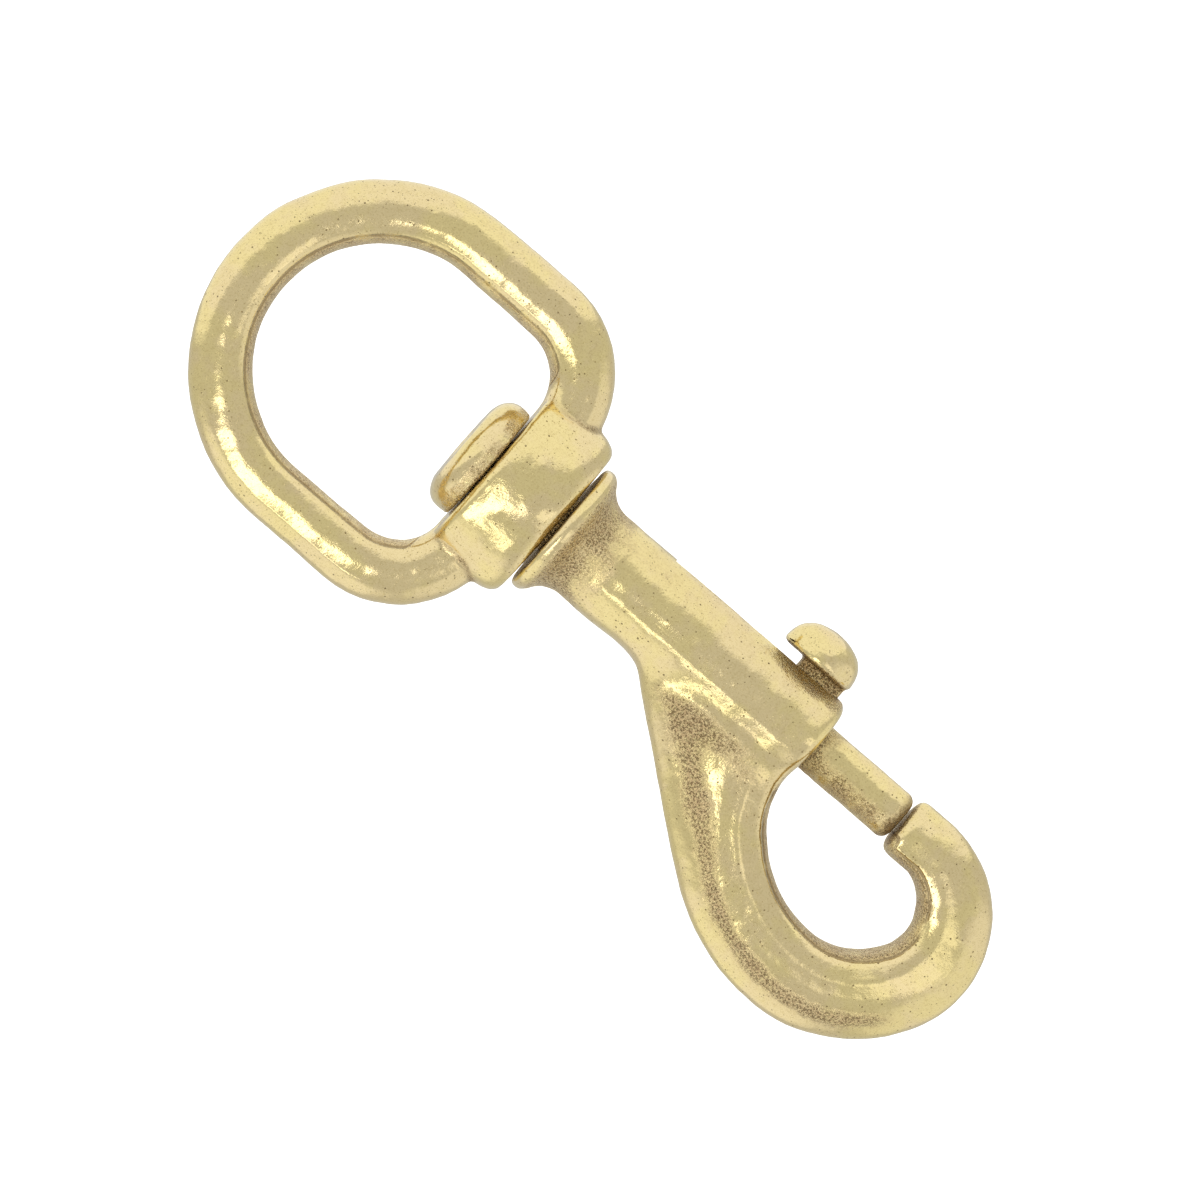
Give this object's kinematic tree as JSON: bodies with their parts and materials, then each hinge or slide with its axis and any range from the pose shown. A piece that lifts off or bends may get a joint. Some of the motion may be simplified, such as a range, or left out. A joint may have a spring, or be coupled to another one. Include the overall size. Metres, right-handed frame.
{
  "type": "swivel bolt snap hook",
  "caption": "Brass snap hook: a strap eye that turns on a rivet, a cast hook, and a spring-loaded bolt with a thumb knob that closes it.",
  "frame": {"origin": "centre of the round end of the eye's opening, on the swivel axis", "axes": "+X along the swivel axis from the eye to the hook, +Y towards the thumb knob, +Z square to the hook's plane"},
  "size_m": [0.104, 0.0426, 0.015],
  "materials": {
    "cast_brass": "tumbled casting",
    "turned_brass": "polished and worn",
    "spring_steel": "drawn wire"
  },
  "bodies": {
    "hook": {"hook_body": "cast_brass", "swivel_rivet": "turned_brass", "bolt_spring": "spring_steel"},
    "eye": {"swivel_eye": "cast_brass"},
    "bolt": {"lock_bolt": "turned_brass", "thumb_knob": "turned_brass"}
  },
  "joints": [
    {"name": "eye_swivel", "type": "hinge", "parent": "hook", "child": "eye", "pos_m": [0, 0, 0], "axis": [1, 0, 0], "continuous": true},
    {"name": "bolt_slide", "type": "slide", "parent": "hook", "child": "bolt", "axis": [-1, 0, 0], "range_m": [0, 0.012], "stiffness_N_per_m": 250, "springref_m": -0.006, "deforming": ["bolt_spring"]}
  ]
}
